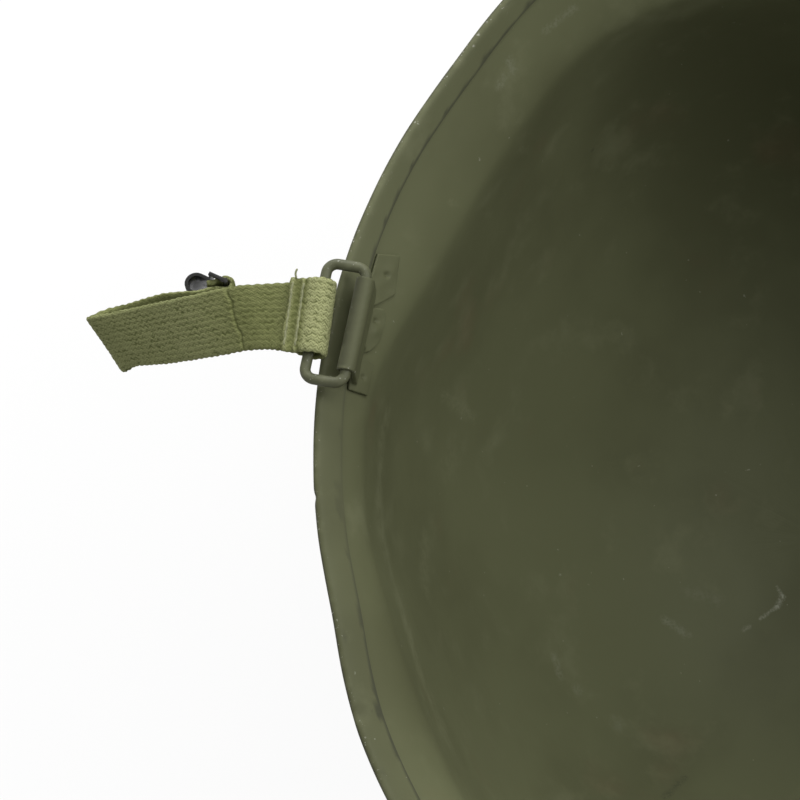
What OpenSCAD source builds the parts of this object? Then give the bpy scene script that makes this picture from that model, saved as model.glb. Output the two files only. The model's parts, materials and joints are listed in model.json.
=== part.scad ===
// Steel combat helmet shell with its chin straps, lying on its crown with the open side up.
// Origin: the lowest point of the crown. +Z out of the open side, +Y to the visor,
// -X to the wearer's right. All sizes in millimetres.

/* [Shell] */
// Half of the width over the rim
half_width = 120.5; // [112:0.5:132]
// From the middle of the opening to the front of the visor
front_reach = 146.5; // [138:0.5:158]
// From the middle of the opening to the back of the rim
back_reach = 140; // [132:1:152]
// Height of the rim at the ears above the crown
side_height = 175; // [165:1:185]
// How much lower the visor's edge lies than the rim at the ears
front_drop = 22; // [12:1:26]
// How much lower the back of the rim lies than the rim at the ears
back_drop = 8; // [2:1:14]
// Thickness of the steel sheet
sheet = 1.1; // [0.9:0.1:1.4]
// Fullness of the outline at the temples, 2 is an ellipse
temple_fullness = 1.85; // [1.8:0.05:2.1]
// Fullness of the outline at the middle of the visor
visor_fullness = 2.1; // [1.9:0.05:2.2]
// Fullness of the outline behind the ears
side_fullness = 2.6; // [2.2:0.1:2.8]
// Fullness of the outline at the middle of the back
back_fullness = 2.3; // [2.1:0.1:2.6]
// Fullness of the bowl's section, 2 is an ellipse
crown_fullness = 2.3; // [2.1:0.1:2.5]
// Height of the soft corners at the ends of the flat side behind each bale
corner_swell = 0.45; // [0:0.05:0.6]

/* [Flare] */
// How far the rim flares out from the bowl at the ears
side_flare = 10; // [9:0.5:12]
// Height of the flare at the ears
side_flare_height = 15; // [14:0.5:18]
// How far the visor stands out from the bowl
front_flare = 19; // [14:0.5:22]
// Height of the visor's flare
front_flare_height = 26; // [20:0.5:28]
// How far the rim flares out at the back
back_flare = 15; // [10:0.5:17]
// Height of the flare at the back
back_flare_height = 22; // [16:0.5:24]

/* [Rim band] */
// How far the folded band reaches in from the rim's edge
band_width = 6.2; // [5:0.1:6.4]
// Thickness of the band's sheet
band_wall = 0.7; // [0.5:0.1:0.8]
// Room between the band and the shell's sheet
band_clearance = 0.05; // [0.03:0.01:0.1]
// Gap between the band's two ends at the back of the rim
band_butt_gap = 0.6; // [0.3:0.1:1]

/* [Bale and hinge] */
// Angle along the rim from the ear to the middle of the hinge
hinge_angle = 20.1; // [18:0.5:23]
// Length of the rolled barrel
barrel_length = 24; // [22:0.5:25]
// Height of the barrel's axis above the rim's edge
barrel_lift = 4.6; // [4.4:0.1:5.4]
// Distance of the barrel's axis in from the rim's edge
barrel_inset = 7.9; // [7.6:0.1:8.4]
// Thickness of the hinge plate's sheet
plate_wall = 0.9; // [0.8:0.05:1]
// Distance of the hinge plate's lowest lobe down the wall from the rim's edge
plate_reach = 15.8; // [15:0.2:17]
// Distance between the rim band and the hinge plate's upper edge
plate_band_gap = 0.8; // [0.6:0.1:1]
// Room between the hinge plate and the shell's sheet
plate_room = 0.12; // [0.08:0.01:0.15]
// Diameter of the bale's wire
bale_wire = 2.7; // [2.4:0.1:2.9]
// Length of the bale between the middles of its two arms
bale_length = 30; // [29.6:0.1:31]
// Reach of the bale from the barrel's axis to its outer bar
bale_reach = 10; // [9.8:0.1:11]
// Radius of the bale's corners on the wire's middle
bale_corner = 2.6; // [2.2:0.1:2.7]
// Room between the bale's webbing loop and the rim band's nose at rest
rest_clearance = 1.4; // [1.4:0.05:1.7]
// How far the bale has slipped back along its barrel
bale_slip = 0.3; // [0:0.05:0.3]
// Room round a pin in its barrel
pin_clearance = 0.08; // [0.05:0.01:0.1]

/* [Straps] */
// Width of the webbing
webbing_width = 17.4; // [16:0.2:18.4]
// Width of the webbing where it spreads over the bale
loop_spread = 19.8; // [17.4:0.2:20.2]
// Thickness of the webbing
webbing = 1.5; // [1.3:0.1:1.7]
// Room round the left bale's bar in the long strap's loop
loop_clearance = 0.8; // [0.4:0.05:0.9]
// Half the height of the short strap's loose loop round the right bale's bar
loose_height = 3.1; // [3.05:0.05:3.4]
// How far the short strap's loose loop has turned on its bar
loop_turn = 4.5; // [2:0.5:4.5]
// Room round the buckle's pin in its webbing fold
fold_clearance = 0.4; // [0.35:0.05:0.5]
// Length of the long strap from its bale to its buckle
long_strap_drop = 112; // [95:1:125]
// Length of the long strap's free end above its buckle
long_strap_tail = 50; // [40:1:60]

/* [Hook and buckle] */
// Width of the hook over its strap slot
hook_width = 18.2; // [18:0.2:20]
// Width of the hook's curl
curl_width = 9.4; // [8:0.2:12]
// Thickness of the hook's sheet
hook_wall = 0.9; // [0.8:0.1:1]
// Diameter of the hook's bar that the strap is sewn round
hook_bar = 1.3; // [1.2:0.1:1.5]
// Distance from the hook's strap bar to the middle of its curl
hook_reach = 7.8; // [7.8:0.2:12]
// Outer radius of the hook's curl
hook_curl = 3; // [2.8:0.1:3.1]
// Angle between the folded hook and the strap's end
hook_rest_angle = 36; // [36:1:60]
// Width of the buckle
buckle_width = 25.6; // [24.6:0.2:28]
// Height of the buckle from its pin to the far edge of its catch
buckle_height = 13; // [11:0.5:16]
// Thickness of the buckle's sheet
buckle_wall = 1.6; // [1.4:0.1:2]
// Diameter of the buckle's pin
buckle_pin = 2.4; // [2.2:0.1:2.8]
// Thickness of the sheet in the strap keeper and the strap tip
trim_wall = 0.6; // [0.5:0.05:0.7]
// Height of the strap keeper
keeper_height = 5; // [4:0.5:7]
// Length of the strap tip
tip_length = 10; // [8:0.5:12]
// Diameter of the sewing thread
thread = 0.7; // [0.5:0.1:0.9]

/* [Hidden] */
$fn = 48;

// Counts of facets on the shell
around = 96;
dome_rows = 15;
flare_rows = 7;

// Half thickness of the band with the sheet inside it, which is its nose radius
band_nose = sheet / 2 + band_clearance + band_wall;
barrel_bore = bale_wire / 2 + pin_clearance;
barrel_radius = barrel_bore + plate_wall;
loop_middle = bale_wire / 2 + loop_clearance + webbing / 2;
// Half the distance between the middles of two layers sewn on each other
layer_middle = webbing / 2 + 0.1;

function clamp01(x) = min(max(x, 0), 1);
function smooth(x) = let(k = clamp01(x)) k * k * (3 - 2 * k);
function mixed(side, front, back, a) =
    side + (front - side) * smooth((sin(a) - 0.15) / 0.5)
    + (back - side) * smooth((-sin(a) - 0.05) / 0.5);

// Angle from the nearer ear to the point at angle a, positive towards the visor
function from_ear(a) = atan2(sin(a), abs(cos(a)));

// Two soft corners with a flat between them, behind each bale
corner_start = -2.5;
corner_spacing = 23.5;
function corner_wave(a) =
    let(t = (corner_start - from_ear(a)) / corner_spacing,
        fade = smooth((t + 0.5) * 2) * smooth((1.5 - t) * 2))
    corner_swell * cos(360 * t) * fade;

function rim_radius(a) =
    let(reach = sin(a) > 0 ? front_reach : back_reach,
        end = smooth((abs(sin(a)) - 0.8) / 0.2),
        n = sin(a) > 0 ? temple_fullness + (visor_fullness - temple_fullness) * end
            : side_fullness + (back_fullness - side_fullness) * smooth((-sin(a) - 0.6) / 0.4))
    pow(pow(abs(cos(a)) / half_width, n) + pow(abs(sin(a)) / reach, n), -1 / n)
    + corner_wave(a);
function rim_height(a) =
    side_height - (sin(a) > 0 ? front_drop : back_drop) * sin(a) * sin(a);

function flare_out(a) = mixed(side_flare, front_flare, back_flare, a);
function flare_up(a) = mixed(side_flare_height, front_flare_height, back_flare_height, a);
// How late the wall turns out: near 1 is a crease at the bowl, 2 is a soft curve
function flare_bend(a) = mixed(2, 1.25, 2, a);
function flare_length(a) = 1.03 * norm([flare_out(a), flare_up(a)]);

// A point on the middle of the flare's sheet: s is 0 at the bowl and 1 at the rim's edge
function flare_point(a, s) =
    let(in = min(s, 1), over = max(s - 1, 0), p = flare_bend(a),
        r = rim_radius(a) - flare_out(a) * (1 - pow(in, p) - p * over),
        z = rim_height(a) - flare_up(a) * (1 - s))
    [r * cos(a), r * sin(a), z];
// A point on the middle of the bowl's sheet: t is 0 at the crown and 90 at the flare
function dome_point(a, t) =
    let(r = (rim_radius(a) - flare_out(a)) * pow(sin(t), 2 / crown_fullness),
        low = sheet / 2,
        z = low + (rim_height(a) - flare_up(a) - low) * (1 - pow(cos(t), 2 / crown_fullness)))
    [r * cos(a), r * sin(a), z];
// k runs from 0 at the crown through 1 at the flare to 2 at the rim's edge
function wall_point(a, k) = k < 1 ? dome_point(a, 90 * k) : flare_point(a, k - 1);
function unit(v) = v / norm(v);
function wall_normal(a, k) =
    let(d = 0.004, e = 0.1,
        along = wall_point(a + e, k) - wall_point(a - e, k),
        up = wall_point(a, k + d) - wall_point(a, max(k - d, 0.0005)))
    unit(cross(up, along));
// The point at distance w down the wall from the rim's edge and n out of its middle, inwards
function on_wall(a, w, n) =
    let(k = 2 - w / flare_length(a))
    wall_point(a, k) + n * wall_normal(a, k);

// Faces between rings of equal length, listed one after another
function ring_faces(rings, count, closed) = [
    for (j = [0 : rings - 2], i = [0 : closed ? count - 1 : count - 2])
        let(p = j * count + i, q = j * count + (i + 1) % count)
        for (f = [[p, q, q + count], [p, q + count, p + count]]) f];

// The shell: one pressed sheet, its inner face from the crown to the rim and back outside
function shell_rows(a) =
    let(edge = 1 - band_nose / flare_length(a))
    [for (j = [1 : dome_rows]) j / dome_rows,
     for (j = [1 : flare_rows]) 1 + edge * j / flare_rows];

module shell() color([0.36, 0.37, 0.28]) {
    half = sheet / 2;
    rows = dome_rows + flare_rows;
    angles = [for (i = [0 : around - 1]) 360 * i / around - 90];
    inner = [for (j = [0 : rows - 1]) for (a = angles)
        let(k = shell_rows(a)[j]) wall_point(a, k) + half * wall_normal(a, k)];
    outer = [for (j = [rows - 1 : -1 : 0]) for (a = angles)
        let(k = shell_rows(a)[j]) wall_point(a, k) - half * wall_normal(a, k)];
    body = concat(inner, outer);
    last = len(body);
    polyhedron(
        concat(body, [[0, 0, sheet], [0, 0, 0]]),
        concat(
            ring_faces(2 * rows, around, true),
            [for (i = [0 : around - 1]) [last, (i + 1) % around, i]],
            [for (i = [0 : around - 1])
                [last + 1, last - around + i, last - around + (i + 1) % around]]));
}

// The section of the folded band as [distance down the wall, distance out of the sheet]
function band_section() =
    let(room = sheet / 2 + band_clearance, turn = [90 : 36 : 270], back = [270 : -36 : 90],
        halfway = (band_nose + band_width) / 2)
    concat(
        [[band_width, band_nose], [halfway, band_nose]],
        [for (t = turn) [band_nose + band_nose * cos(t), band_nose * sin(t)]],
        [[halfway, -band_nose], [band_width, -band_nose], [band_width, -room], [halfway, -room]],
        [for (t = back) [band_nose + room * cos(t), room * sin(t)]],
        [[halfway, room], [band_width, room]]);

module rim_band() color([0.38, 0.39, 0.31]) {
    gap = asin(band_butt_gap / 2 / back_reach);
    step = 360 / around;
    angles = concat([270 - gap], [for (i = [1 : around - 1]) 270 - i * step], [gap - 90]);
    section = band_section();
    count = len(section);
    last = count * (len(angles) - 1);
    polyhedron(
        [for (a = angles, q = section) on_wall(a, q[0], q[1])],
        concat(
            ring_faces(len(angles), count, true),
            [[for (i = [count - 1 : -1 : 0]) i]],
            [[for (i = [0 : count - 1]) last + i]]),
        convexity = 6);
}

// The hinge's frame on the wearer's right: x forward along the barrel, y out, z up
hinge_a = 180 - hinge_angle;
hinge_span = 5.5;
rim_run = unit(on_wall(hinge_a - hinge_span, 0, 0) - on_wall(hinge_a + hinge_span, 0, 0));
hinge_yaw = atan2(rim_run[1], rim_run[0]);
hinge_pitch = asin(rim_run[2]);
hinge_out = [-sin(hinge_yaw), cos(hinge_yaw), 0];
hinge_up = cross(rim_run, hinge_out);
hinge_centre = on_wall(hinge_a, 0, 0) - barrel_inset * hinge_out + barrel_lift * hinge_up;

module at_hinge() translate(hinge_centre) rotate([0, 0, hinge_yaw]) rotate([0, -hinge_pitch, 0])
    children();
module on_left() mirror([1, 0, 0]) children();
function in_hinge(p) = let(d = p - hinge_centre) [d * rim_run, d * hinge_out, d * hinge_up];

// The bale tilts down until its webbing loop rests on the rim band's nose
nose_at = in_hinge(on_wall(hinge_a, band_nose, 0));
nose_distance = norm([nose_at[1], nose_at[2]]);
rest_distance = loose_height + webbing / 2 + rest_clearance + band_nose;
rest_cosine = (bale_reach * bale_reach + nose_distance * nose_distance
    - rest_distance * rest_distance) / (2 * bale_reach * nose_distance);
bale_tilt = -atan2(nose_at[2], nose_at[1]) - acos(min(1, rest_cosine));

// The bale's outer bar at rest, in the hinge's frame, across the barrel
bar_y = bale_reach * cos(bale_tilt);
bar_z = -bale_reach * sin(bale_tilt);

// The plate's lower edge in three lobes: angle forward of the hinge and share of its depth
plate_edge = [[-7, 0.82], [-2.8, 0.84], [-2.4, 0.27], [-1.8, 0.3], [-1.4, 0.52], [-0.6, 0.71],
    [0.4, 0.86], [2, 0.9], [3.3, 0.86], [4.2, 0.71], [4.5, 0.25], [5.2, 0.62], [6.2, 1],
    [11.5, 0.74]];
plate_top = band_width + plate_band_gap;
plate_depth = plate_reach - plate_top;
plate_offset = sheet / 2 + plate_room;
// How much further forward the sheet's front cuts lie at its lower edge, as an angle
plate_slant = 1.7;
plate_straight = -3;
plate_slanted = 4;

module plate_sheet() {
    steps = 3;
    columns = steps * (len(plate_edge) - 1);
    rows = 5;
    stations = [for (k = [0 : len(plate_edge) - 1]) [k * steps, plate_edge[k][0]]];
    function spot(i, j, n) =
        let(u = lookup(i, stations), share = lookup(u, plate_edge) * j / rows,
            slant = lookup(u, [[plate_straight, 0], [plate_slanted, plate_slant]]))
        on_wall(hinge_a - u - slant * (share - 0.5), plate_top + share * plate_depth, n);
    function side(n) = [for (i = [0 : columns], j = [0 : rows]) spot(i, j, n)];
    wide = rows + 1;
    total = (columns + 1) * wide;
    front = ring_faces(columns + 1, wide, false);
    ring = concat(
        [for (j = [0 : rows - 1]) j],
        [for (i = [0 : columns - 1]) i * wide + rows],
        [for (j = [rows : -1 : 1]) columns * wide + j],
        [for (i = [columns : -1 : 1]) i * wide]);
    polyhedron(
        concat(side(plate_offset), side(plate_offset + plate_wall)),
        concat(
            front,
            [for (f = front) [f[2] + total, f[1] + total, f[0] + total]],
            [for (i = [0 : len(ring) - 1])
                let(p = ring[i], q = ring[(i + 1) % len(ring)])
                for (f = [[p, q + total, q], [p, p + total, q + total]]) f]));
}

// The plate's neck rises from the wall, just under the barrel, which is rolled round the wire
neck_share = 0.2;
neck_depth = plate_top + neck_share * plate_depth;
neck_foot = in_hinge(on_wall(hinge_a, neck_depth, plate_offset + plate_wall));
module hinge_plate() color([0.37, 0.38, 0.3]) {
    plate_sheet();
    at_hinge() rotate([90, 0, 90]) translate([0, 0, -barrel_length / 2])
        linear_extrude(barrel_length) difference() {
            union() {
                circle(barrel_radius);
                polygon([[-barrel_bore, 0], [-barrel_radius, 0],
                    [neck_foot[1] - plate_wall, neck_foot[2]],
                    [neck_foot[1] + plate_wall / 4, neck_foot[2]]]);
            }
            circle(barrel_bore);
        }
}
module right_hinge_plate() hinge_plate();
module left_hinge_plate() on_left() hinge_plate();

// The bale: one closed wire loop, modelled level and tilted to rest on the rim
module bale() color([0.4, 0.41, 0.33]) at_hinge() translate([-bale_slip, 0, 0])
    rotate([-bale_tilt, 0, 0]) {
    straight_x = bale_length / 2 - bale_corner;
    straight_y = bale_reach - 2 * bale_corner;
    for (y = [0, bale_reach])
        translate([-straight_x, y, 0]) rotate([0, 90, 0])
            cylinder(h = 2 * straight_x, d = bale_wire);
    for (x = [-1, 1])
        translate([x * bale_length / 2, bale_corner, 0]) rotate([-90, 0, 0])
            cylinder(h = straight_y, d = bale_wire);
    for (x = [-1, 1], y = [-1, 1])
        translate([x * straight_x, bale_reach / 2 + y * (bale_reach / 2 - bale_corner), 0])
            rotate([0, 0, x > 0 ? (y > 0 ? 0 : 270) : (y > 0 ? 90 : 180)])
                rotate_extrude(angle = 90) translate([bale_corner, 0]) circle(d = bale_wire);
}
module right_bale() bale();
module left_bale() on_left() bale();

// A webbing ribbon through stations [middle, half of its width]
function station_run(s, i) =
    unit(s[min(i + 1, len(s) - 1)][0] - s[max(i - 1, 0)][0]);
function ribbon_points(s, t) = [
    for (i = [0 : len(s) - 1])
        let(n = unit(cross(s[i][1], station_run(s, i))) * t / 2)
        for (p = [s[i][0] + s[i][1] + n, s[i][0] - s[i][1] + n,
                  s[i][0] - s[i][1] - n, s[i][0] + s[i][1] - n]) p];
module ribbon(s, t) {
    last = 4 * (len(s) - 1);
    polyhedron(
        ribbon_points(s, t),
        concat(
            ring_faces(len(s), 4, true),
            [[3, 2, 1, 0]],
            [[last, last + 1, last + 2, last + 3]]),
        convexity = 8);
}
// A smooth curve through the stations with a few steps between each two
function curve4(a, b, c, d, t) =
    0.5 * (2 * b + (c - a) * t + (2 * a - 5 * b + 4 * c - d) * t * t
    + (3 * b - a - 3 * c + d) * t * t * t);
function curved(s, steps) = concat(
    [for (i = [0 : len(s) - 2], j = [0 : steps - 1])
        let(a = s[max(i - 1, 0)], b = s[i], c = s[i + 1], d = s[min(i + 2, len(s) - 1)])
        [curve4(a[0], b[0], c[0], d[0], j / steps), curve4(a[1], b[1], c[1], d[1], j / steps)]],
    [s[len(s) - 1]]);

// The short strap, in the hinge's frame: its sewn loop round the bale's outer bar
strap_half = webbing_width / 2;
loop_x = 0.2;
sewn_start = 3.7;
sewn_length = 7.3;
stitch_rows = [4.5, 6.5];
// Half of the loop's outline from the sewn part inwards: [distance from the bar, height share]
loop_outline = [[2.2, 0.66], [0.9, 0.92], [-0.6, 1], [-2, 0.85], [-3, 0.48], [-3.28, 0]];
function turned(half) = [cos(loop_turn), sin(loop_turn), 0] * half;
function in_loop(y, z, half) = [
    [loop_x - y * sin(loop_turn), bar_y + y * cos(loop_turn), bar_z + z], turned(half)];
short_loop = concat(
    [in_loop(sewn_length, layer_middle, strap_half + 1.1),
     in_loop(sewn_start, layer_middle, strap_half + 1.1)],
    [for (side = [1, -1], i = [0 : len(loop_outline) - 1])
        let(p = loop_outline[side > 0 ? i : len(loop_outline) - 1 - i])
        if (side > 0 || i > 0) in_loop(p[0], side * p[1] * loose_height, loop_spread / 2)],
    [in_loop(sewn_start, -layer_middle, strap_half + 0.7),
     in_loop(sewn_length + 0.8, -layer_middle - 0.2, strap_half + 0.3)]);
// Its free part: out over the rim, down, round a slanting fold, then back and onto its edge.
// Each station is a middle point and the width's direction, chosen by hand.
short_free = [
    [[-1.4, 28.5, -4.4], [0.9, 0.4, 0.06]],
    [[-3.2, 41, -12.2], [0.84, 0.53, 0.09]],
    [[-4.3, 54.5, -22.6], [0.77, 0.63, 0.09]],
    [[-5, 66, -31.6], [0.71, 0.7, 0.09]],
    [[-5, 69, -35.6], [0.75, 0.65, 0.14]],
    [[-2.4, 67.2, -38.8], [0.85, 0.45, 0.28]],
    [[2.4, 63.7, -43.3], [0.6, 0.2, 0.76]],
    [[8.9, 58.4, -46.3], [0.3, 0.02, 0.95]]];
short_path = [for (s = short_free) [s[0], unit(s[1]) * strap_half]];
// The end: a frame at the hook's strap bar, d along the strap, h across it and n out of it
end_at = [17.4, 44, -48.6];
end_d = unit([2.7, -7.1, -0.5]);
end_width = [0.1, -0.05, 0.99];
end_h = unit(end_width - end_d * (end_width * end_d));
end_n = cross(end_h, end_d);
function at_end(d, n) = end_at + end_d * d + end_n * n;
bar_slack = 0.35;
end_middle = hook_bar / 2 + bar_slack + webbing / 2;
// The webbing is drawn together where it passes through the hook
end_half = strap_half - 1.1;
end_rows = [-3.5, -4.3];
// The webbing comes in past the hook's curl over this length, from this far to the side
end_neck = -3.4;
lead_length = 4.1;
lead_offset = 0.9;
short_end = concat(
    [[at_end(end_neck - lead_length, -layer_middle - lead_offset), end_h * strap_half],
     [at_end(end_neck, -layer_middle), end_h * (end_half + 0.2)]],
    [for (t = [-120 : 30 : 120])
        [at_end(end_middle * cos(t), end_middle * sin(t)), end_h * end_half]],
    [[at_end(end_neck, layer_middle), end_h * (end_half + 0.2)],
     [at_end(end_neck - 1.3, layer_middle), end_h * (end_half + 0.4)]]);
short_curve = curved(concat([short_loop[len(short_loop) - 1]], short_path, [short_end[0]]), 3);
short_stations = concat(
    [for (i = [0 : len(short_loop) - 2]) short_loop[i]],
    short_curve,
    [for (i = [1 : len(short_end) - 1]) short_end[i]]);

module short_strap() color([0.42, 0.43, 0.28]) at_hinge() ribbon(short_stations, webbing);

// One row of stitches: short rods of thread lying across the webbing
module stitch_row(width, count) {
    pitch = width / count;
    for (i = [0 : count - 1])
        translate([-width / 2 + (i + 0.5) * pitch, 0, 0]) rotate([0, 90, 0])
            cylinder(h = pitch * 0.72, d = thread, center = true, $fn = 16);
}
stitch_count = 9;
stitch_lift = layer_middle + webbing / 2 + thread / 2 + 0.03;
module short_strap_loop_stitches() color([0.5, 0.51, 0.38]) at_hinge()
    for (y = stitch_rows)
        translate(in_loop(y, stitch_lift, 0)[0]) rotate([0, 0, loop_turn])
            stitch_row(strap_half * 2 - 0.5, stitch_count);

// Turns x, y and z to the frame at the strap's end
module at_strap_end() multmatrix([
    [end_h[0], end_d[0], end_n[0], end_at[0]],
    [end_h[1], end_d[1], end_n[1], end_at[1]],
    [end_h[2], end_d[2], end_n[2], end_at[2]],
    [0, 0, 0, 1]]) children();
module short_strap_hook_stitches() color([0.5, 0.51, 0.38]) at_hinge() at_strap_end()
    for (y = end_rows)
        translate([0, y, -stitch_lift - thread / 3 - lead_offset * (end_neck - y) / lead_length])
            stitch_row(end_half * 2 - 1, stitch_count);

// The hook: a flat shank with a slot for the webbing and a narrower curl at its end
slot_width = 2 * end_half + 1;
slot_end = 4;
shoulder = 0.8;
module hook_body() {
    wide = slot_end + shoulder;
    translate([0, 0, -hook_wall / 2]) linear_extrude(hook_wall) difference() {
        union() {
            translate([-hook_width / 2, -wide]) square([hook_width, wide]);
            translate([-curl_width / 2, -hook_reach]) square([curl_width, hook_reach]);
        }
        translate([-slot_width / 2, -slot_end]) square([slot_width, slot_end]);
    }
    rotate([0, 90, 0]) cylinder(h = hook_width, d = hook_bar, center = true);
    translate([-curl_width / 2, -hook_reach, hook_wall / 2 - hook_curl]) rotate([90, 0, 90])
        linear_extrude(curl_width) difference() {
            circle(hook_curl);
            circle(hook_curl - hook_wall);
            square(2 * hook_curl);
            rotate(-60) square(2 * hook_curl);
        }
}
module hook() color([0.08, 0.08, 0.08]) at_hinge() at_strap_end()
    rotate([-hook_rest_angle, 0, 0]) hook_body();

// The long strap hangs from the left bale. Its layers run past the rim and down.
hang = 0.55;
bend_z = bar_z - long_strap_drop;
pin_middle = buckle_pin / 2 + fold_clearance + webbing / 2;
tail_z = bend_z + long_strap_tail;
tail_step = 0.95;
function across(half, y, z) = [[0, y, z], [half, 0, 0]];
long_stations = concat(
    [across(strap_half, bar_y + hang + layer_middle, bar_z - sewn_length - 1),
     across(strap_half, bar_y + hang + layer_middle, bar_z - sewn_start - 1)],
    [for (t = [-36 : 23 : 263])
        across(loop_spread / 2, bar_y + loop_middle * cos(t), bar_z + loop_middle * sin(t))],
    [across(strap_half, bar_y + hang - layer_middle, bar_z - sewn_start - 1.8),
     across(strap_half, bar_y + hang - layer_middle, bar_z - 24),
     across(strap_half, bar_y - layer_middle, bar_z - 36),
     across(strap_half, bar_y - layer_middle, bend_z + 8)],
    [for (t = [160 : 28 : 384])
        across(strap_half, bar_y + pin_middle * cos(t), bend_z + pin_middle * sin(t))],
    [across(strap_half, bar_y + layer_middle, bend_z + 8),
     across(strap_half, bar_y + layer_middle, tail_z - tip_length - 6),
     across(strap_half, bar_y + layer_middle + tail_step, tail_z - tip_length - 1),
     across(strap_half, bar_y + layer_middle + tail_step, tail_z)]);
module long_strap() color([0.42, 0.43, 0.28]) on_left() at_hinge()
    ribbon(long_stations, webbing);
module long_strap_loop_stitches() color([0.5, 0.51, 0.38]) on_left() at_hinge()
    for (z = stitch_rows)
        translate([0, bar_y + hang + stitch_lift, bar_z - z - 1])
            stitch_row(strap_half * 2 - 1.5, stitch_count);

// The buckle: a stamped frame hung on the strap's fold by its pin, with a catch for the hook
ear_thickness = (buckle_width - webbing_width - 1) / 2;
module buckle_frame() color([0.09, 0.09, 0.08]) on_left() at_hinge()
    translate([0, bar_y, bend_z]) difference() {
        union() {
            rotate([90, 0, 0]) translate([0, 0, -buckle_wall / 2]) linear_extrude(buckle_wall)
                difference() {
                    translate([-buckle_width / 2, -buckle_height])
                        square([buckle_width, buckle_height]);
                    translate([-webbing_width / 2 - 0.5, -buckle_height + 3])
                        square([webbing_width + 1, buckle_height]);
                }
            for (x = [-1, 1])
                translate([x * (buckle_width - ear_thickness) / 2, 0, 0]) rotate([0, 90, 0])
                    cylinder(h = ear_thickness, d = buckle_pin + 2, center = true);
        }
        rotate([0, 90, 0])
            cylinder(h = buckle_width + 2, d = buckle_pin + 2 * pin_clearance, center = true);
    }
module buckle_pin_bar() color([0.12, 0.12, 0.11]) on_left() at_hinge()
    translate([0, bar_y, bend_z]) rotate([0, 90, 0])
        cylinder(h = buckle_width + 1, d = buckle_pin, center = true);

// A flat metal sleeve round both layers of the long strap
keeper_z = bend_z + 24;
module sleeve(inner_x, inner_y, wall, height) linear_extrude(height) difference() {
    square([inner_x + 2 * wall, inner_y + 2 * wall], center = true);
    square([inner_x, inner_y], center = true);
}
module strap_keeper() color([0.1, 0.1, 0.09]) on_left() at_hinge()
    translate([0, bar_y, keeper_z])
        sleeve(webbing_width + 0.6, 2 * layer_middle + webbing + 0.6, trim_wall, keeper_height);

// The metal tip crimped on the long strap's free end, closed over the webbing
module strap_tip() color([0.1, 0.1, 0.09]) on_left() at_hinge()
    translate([0, bar_y + layer_middle + tail_step, tail_z - tip_length]) difference() {
        translate([-webbing_width / 2 - 0.7, -webbing / 2 - 0.05 - trim_wall, 0])
            cube([webbing_width + 1.4, webbing + 0.1 + 2 * trim_wall, tip_length + 0.7]);
        translate([-webbing_width / 2 - 2, -webbing / 2 - 0.05, -1])
            cube([webbing_width + 4, webbing + 0.1, tip_length + 1.05]);
    }

shell();
rim_band();
right_hinge_plate();
left_hinge_plate();
right_bale();
left_bale();
short_strap();
short_strap_loop_stitches();
short_strap_hook_stitches();
hook();
long_strap();
long_strap_loop_stitches();
buckle_frame();
buckle_pin_bar();
strap_keeper();
strap_tip();
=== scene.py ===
"""Steel combat helmet shell with its chin straps, dressed for a photograph of its inside.

The shell lies on its crown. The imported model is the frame: +Z out of the open side, +Y to the
visor, -X to the wearer's right. All sizes are in metres.
"""

import json
import math

import bpy
import numpy as np
from mathutils import Matrix, Vector


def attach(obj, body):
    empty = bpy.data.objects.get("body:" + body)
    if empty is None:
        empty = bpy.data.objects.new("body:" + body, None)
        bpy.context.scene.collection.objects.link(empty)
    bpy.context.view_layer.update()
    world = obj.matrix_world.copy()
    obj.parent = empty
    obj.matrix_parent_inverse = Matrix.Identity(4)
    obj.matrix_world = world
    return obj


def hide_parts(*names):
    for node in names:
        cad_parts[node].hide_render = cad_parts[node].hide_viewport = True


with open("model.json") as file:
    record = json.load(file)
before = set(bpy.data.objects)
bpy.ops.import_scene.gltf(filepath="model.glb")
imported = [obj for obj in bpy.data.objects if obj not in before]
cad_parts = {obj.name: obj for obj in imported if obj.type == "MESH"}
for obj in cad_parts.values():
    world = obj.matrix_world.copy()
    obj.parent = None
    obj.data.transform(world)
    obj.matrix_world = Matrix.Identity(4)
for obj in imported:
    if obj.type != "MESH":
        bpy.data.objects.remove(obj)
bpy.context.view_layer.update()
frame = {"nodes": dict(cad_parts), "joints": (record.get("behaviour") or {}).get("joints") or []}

bl_info = {
    "name": "Combat Helmet",
    "version": (1, 0, 0),
    "blender": (4, 5, 0),
    "location": "View3D > Sidebar > Helmet",
    "description": "Builds the looks of a steel helmet shell, its hinges, webbing straps and hardware",
    "category": "Object",
}

JOINTS = {joint["name"]: joint for joint in frame["joints"]}


# Sizes and colours that a user would change

def colour_property(name, description, default):
    return bpy.props.FloatVectorProperty(
        name=name, description=description, default=default, subtype="COLOR", min=0, max=1)


def length_property(name, description, default):
    return bpy.props.FloatProperty(
        name=name, description=description, default=default, min=0, unit="LENGTH", precision=5)


def power_property(name, description, default):
    return bpy.props.FloatProperty(name=name, description=description, default=default, min=0, unit="POWER")


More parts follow.
